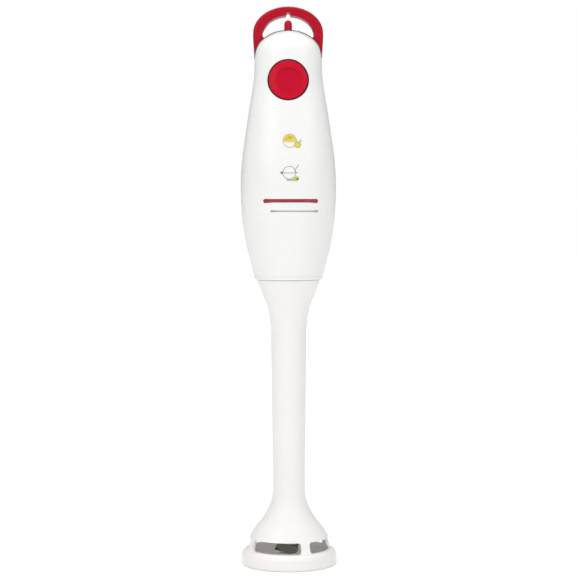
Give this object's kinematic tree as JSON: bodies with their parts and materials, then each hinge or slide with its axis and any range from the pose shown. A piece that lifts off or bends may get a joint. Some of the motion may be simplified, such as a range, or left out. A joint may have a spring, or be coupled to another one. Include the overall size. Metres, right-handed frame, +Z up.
{
  "type": "immersion blender",
  "caption": "Upright stick blender with a round thumb button, a hanging loop, a fixed flared leg and a windowed bell guard over a spinning blade.",
  "frame": {"origin": "centre of the bell guard's rim, on the plane that the rim stands on", "axes": "+Z up the drive axis from the rim to the hanging loop, -Y out through the button, +X to the right as seen from the button's side"},
  "size_m": [0.0656, 0.0652, 0.3844],
  "materials": {
    "shell_white": "glossy moulded white, with very fine hairline marks",
    "leg_white": "glossy moulded warm white",
    "loop_red": "glossy moulded red",
    "button_red": "satin-gloss red, polished where the thumb rests",
    "grommet_red": "semi-matte flexible red",
    "blade_steel": "dark polished stainless steel, ground along the edges",
    "bright_steel": "turned and ground steel",
    "spring_steel": "drawn spring wire, lightly oiled",
    "screw_zinc": "bright zinc plate",
    "can_steel": "drawn and plated motor can",
    "lamination_steel": "stacked laminations with a thin varnish",
    "ferrite": "dark sintered ferrite",
    "winding_copper": "enamelled copper wire",
    "commutator_copper": "bright copper with brush tracks",
    "bush_bronze": "oil-filled sintered bronze",
    "terminal_brass": "stamped brass",
    "carbon": "matte pressed carbon",
    "mount_rubber": "matte moulded rubber",
    "seal_rubber": "semi-matte dark rubber",
    "black_plastic": "matte glass-filled black",
    "natural_plastic": "matte uncoloured acetal",
    "terminal_plastic": "matte pale grey",
    "capacitor_yellow": "semi-matte yellow film-capacitor case",
    "board_brown": "resin-bonded paper board",
    "insulator_green": "varnished insulating paper",
    "lead_brown": "semi-matte lead insulation",
    "lead_blue": "semi-matte lead insulation",
    "lead_black": "semi-matte lead insulation",
    "lead_red": "semi-matte lead insulation"
  },
  "bodies": {
    "housing": {"front_shell": "shell_white", "rear_shell": "shell_white", "hanging_loop": "loop_red", "loop_seal": "seal_rubber", "cord_gland": "grommet_red", "switch_body": "black_plastic", "switch_terminals": "terminal_brass", "circuit_board": "board_brown", "suppression_capacitor": "capacitor_yellow", "rectifier_diodes": "black_plastic", "suppression_chokes": "winding_copper", "terminal_block": "terminal_plastic", "terminal_screws": "screw_zinc", "lead_live": "lead_brown", "lead_neutral": "lead_blue", "lead_switched": "lead_brown", "lead_motor_left": "lead_black", "lead_motor_right": "lead_red", "cord_clamp": "black_plastic", "clamp_screws": "screw_zinc", "shell_screws": "screw_zinc", "motor_can": "can_steel", "field_magnets": "ferrite", "motor_bush_lower": "bush_bronze", "motor_bush_upper": "bush_bronze", "motor_end_cap": "black_plastic", "motor_mount_lower": "mount_rubber", "motor_mount_upper": "mount_rubber", "brush_holders": "terminal_brass", "leg_casing": "leg_white", "leg_bush_lower": "bush_bronze", "leg_bush_upper": "bush_bronze", "shaft_seal": "seal_rubber", "bearing_carrier": "natural_plastic"},
    "button": {"button_cap": "button_red", "button_carrier": "natural_plastic", "button_spring": "spring_steel"},
    "switch_pin": {"switch_plunger": "natural_plastic"},
    "left_brush": {"brush_left": "carbon", "brush_spring_left": "spring_steel"},
    "right_brush": {"brush_right": "carbon", "brush_spring_right": "spring_steel"},
    "rotor": {"rotor_shaft": "bright_steel", "rotor_core": "lamination_steel", "rotor_windings": "winding_copper", "insulating_sleeve": "insulator_green", "commutator_bars": "commutator_copper", "commutator_core": "board_brown", "cooling_fan": "black_plastic", "motor_coupling": "black_plastic"},
    "drive": {"drive_shaft": "bright_steel", "thrust_washer": "natural_plastic", "retaining_clip": "spring_steel", "leg_coupling": "natural_plastic", "blade_hub": "natural_plastic", "blade": "blade_steel", "blade_nut": "bright_steel"}
  },
  "joints": [
    {"name": "button_press", "type": "slide", "parent": "housing", "child": "button", "axis": [0, 1, 0], "range_m": [0, 0.0025], "stiffness_N_per_m": 800, "springref_m": -0.0015, "deforming": ["button_spring"]},
    {"name": "switch_pin_travel", "type": "slide", "parent": "housing", "child": "switch_pin", "axis": [0, 1, 0], "range_m": [0, 0.0025]},
    {"name": "rotor_spin", "type": "hinge", "parent": "housing", "child": "rotor", "pos_m": [0, 0, 0.24], "axis": [0, 0, 1], "continuous": true},
    {"name": "blade_spin", "type": "hinge", "parent": "housing", "child": "drive", "pos_m": [0, 0, 0.1], "axis": [0, 0, 1], "continuous": true},
    {"name": "left_brush_feed", "type": "slide", "parent": "housing", "child": "left_brush", "axis": [-1, 0, 0], "range_m": [0, 0.0012], "stiffness_N_per_m": 400, "springref_m": -0.004, "deforming": ["brush_spring_left"]},
    {"name": "right_brush_feed", "type": "slide", "parent": "housing", "child": "right_brush", "axis": [1, 0, 0], "range_m": [0, 0.0012], "stiffness_N_per_m": 400, "springref_m": -0.004, "deforming": ["brush_spring_right"]}
  ],
  "couplings": [
    {"joint": "switch_pin_travel", "follows": "button_press", "ratio": 1},
    {"joint": "blade_spin", "follows": "rotor_spin", "ratio": 1}
  ]
}
